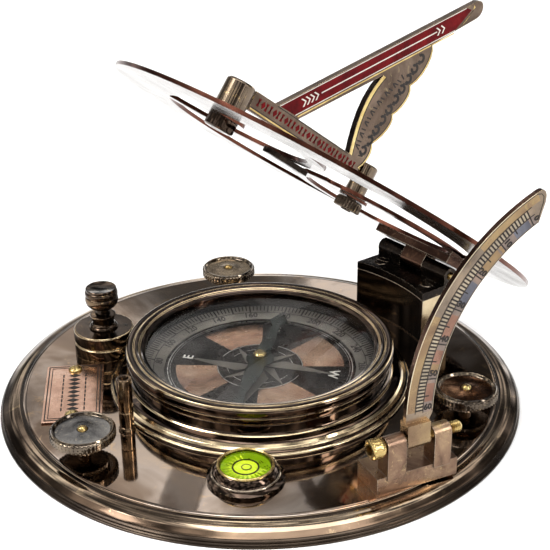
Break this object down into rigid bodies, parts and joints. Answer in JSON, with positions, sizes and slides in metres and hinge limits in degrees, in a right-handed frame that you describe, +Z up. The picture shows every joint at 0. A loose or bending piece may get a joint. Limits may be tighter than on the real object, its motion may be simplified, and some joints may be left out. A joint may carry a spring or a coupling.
{
  "type": "garden sundial",
  "caption": "Round brass sundial compass with a hinged pierced dial, folding gnomon and latitude arc, compass, bubble level and levelling screws.",
  "frame": {"origin": "centre of the base's underside, on the ground", "axes": "+Z up; +Y from the compass towards the hinge block; +X towards the latitude arc"},
  "size_m": [0.15, 0.1582, 0.1024],
  "materials": {
    "dark_brass": "polished dark patina",
    "copper_brass": "polished copper-toned patina",
    "antique_brass": "satin antique patina",
    "bright_brass": "polished",
    "blued_steel": "blued",
    "clear_glass": "clear",
    "level_liquid": "bright green liquid vial"
  },
  "bodies": {
    "base": {"base_plate": "dark_brass", "block_fixing_screw_1": "antique_brass", "block_fixing_screw_2": "antique_brass", "bracket_fixing_screw_1": "antique_brass", "bracket_fixing_screw_2": "antique_brass", "drum_fixing_screw": "antique_brass", "compass_bowl": "dark_brass", "compass_card": "copper_brass", "needle_pivot": "antique_brass", "compass_glass": "clear_glass", "compass_bezel": "dark_brass", "name_plate": "copper_brass", "name_plate_screw_1": "antique_brass", "name_plate_screw_2": "antique_brass", "lock_drum": "dark_brass", "lock_collar": "dark_brass", "rest_post": "dark_brass", "level_housing": "antique_brass", "level_vial": "level_liquid", "level_glass": "clear_glass", "hinge_block": "dark_brass", "hinge_fixed_leaf": "dark_brass", "leaf_screw_1": "dark_brass", "leaf_screw_2": "dark_brass", "hinge_pin": "antique_brass", "arc_bracket": "copper_brass"},
    "needle": {"compass_needle": "blued_steel", "needle_cap": "bright_brass"},
    "lock_screw": {"lock_stem": "dark_brass", "lock_knob": "dark_brass"},
    "dial": {"hinge_moving_leaf": "dark_brass", "dial_ring": "copper_brass", "dial_screw_1": "antique_brass", "dial_screw_2": "antique_brass", "gnomon_post_front": "antique_brass", "gnomon_post_rear": "antique_brass", "gnomon_catch": "dark_brass"},
    "clamp_nut": {"post_nut": "dark_brass"},
    "gnomon_blade": {"gnomon": "antique_brass", "gnomon_pivot_front": "bright_brass", "gnomon_pivot_rear": "bright_brass"},
    "arc": {"latitude_arc": "antique_brass"},
    "arc_screw": {"arc_pin": "bright_brass", "arc_thumb_knob": "antique_brass"},
    "levelling_foot_1_body": {"levelling_foot_1": "antique_brass"},
    "levelling_screw_1": {"levelling_spindle_1": "bright_brass", "levelling_wheel_1": "dark_brass"},
    "levelling_foot_2_body": {"levelling_foot_2": "antique_brass"},
    "levelling_screw_2": {"levelling_spindle_2": "bright_brass", "levelling_wheel_2": "dark_brass"},
    "levelling_foot_3_body": {"levelling_foot_3": "antique_brass"},
    "levelling_screw_3": {"levelling_spindle_3": "bright_brass", "levelling_wheel_3": "dark_brass"}
  },
  "joints": [
    {"name": "dial_hinge", "type": "hinge", "parent": "base", "child": "dial", "pos_m": [0, 0.0613, 0.024], "axis": [-1, 0, 0], "range_deg": [-37.2, 52.8]},
    {"name": "gnomon_fold", "type": "hinge", "parent": "dial", "child": "gnomon_blade", "pos_m": [0, 0.01906, 0.07338], "axis": [0, -0.7965, 0.6046], "range_deg": [0, 90]},
    {"name": "clamp_nut_turn", "type": "hinge", "parent": "dial", "child": "clamp_nut", "pos_m": [0, 0.03317, 0.05062], "axis": [0, 0.6046, 0.7965], "range_deg": [-90, 180]},
    {"name": "arc_fold", "type": "hinge", "parent": "base", "child": "arc", "pos_m": [0.06692, 0.00015, 0.0175], "axis": [0.2079, 0.9781, 0], "range_deg": [0, 90]},
    {"name": "arc_screw_turn", "type": "hinge", "parent": "base", "child": "arc_screw", "pos_m": [0.06692, 0.00015, 0.0175], "axis": [0.2079, 0.9781, 0], "range_deg": [-180, 180]},
    {"name": "lock_screw_turn", "type": "hinge", "parent": "base", "child": "lock_screw", "pos_m": [-0.0421, -0.0276, 0.0216], "axis": [0, 0, 1], "range_deg": [-180, 180]},
    {"name": "needle_swing", "type": "hinge", "parent": "base", "child": "needle", "pos_m": [0, 0, 0.0106], "axis": [0, 0, 1], "continuous": true},
    {"name": "levelling_travel_1", "type": "slide", "parent": "base", "child": "levelling_foot_1_body", "axis": [0, 0, -1], "range_m": [0, 0.0023]},
    {"name": "levelling_turn_1", "type": "hinge", "parent": "levelling_foot_1_body", "child": "levelling_screw_1", "pos_m": [0.00359, -0.06039, 0.01], "axis": [0, 0, -1], "range_deg": [0, 1183]},
    {"name": "levelling_travel_2", "type": "slide", "parent": "base", "child": "levelling_foot_2_body", "axis": [0, 0, -1], "range_m": [0, 0.0023]},
    {"name": "levelling_turn_2", "type": "hinge", "parent": "levelling_foot_2_body", "child": "levelling_screw_2", "pos_m": [0.05051, 0.0333, 0.01], "axis": [0, 0, -1], "range_deg": [0, 1183]},
    {"name": "levelling_travel_3", "type": "slide", "parent": "base", "child": "levelling_foot_3_body", "axis": [0, 0, -1], "range_m": [0, 0.0023]},
    {"name": "levelling_turn_3", "type": "hinge", "parent": "levelling_foot_3_body", "child": "levelling_screw_3", "pos_m": [-0.0541, 0.02709, 0.01], "axis": [0, 0, -1], "range_deg": [0, 1183]}
  ],
  "couplings": [
    {"joint": "levelling_turn_1", "follows": "levelling_travel_1", "rad_per_m": 8976},
    {"joint": "levelling_turn_2", "follows": "levelling_travel_2", "rad_per_m": 8976},
    {"joint": "levelling_turn_3", "follows": "levelling_travel_3", "rad_per_m": 8976}
  ]
}
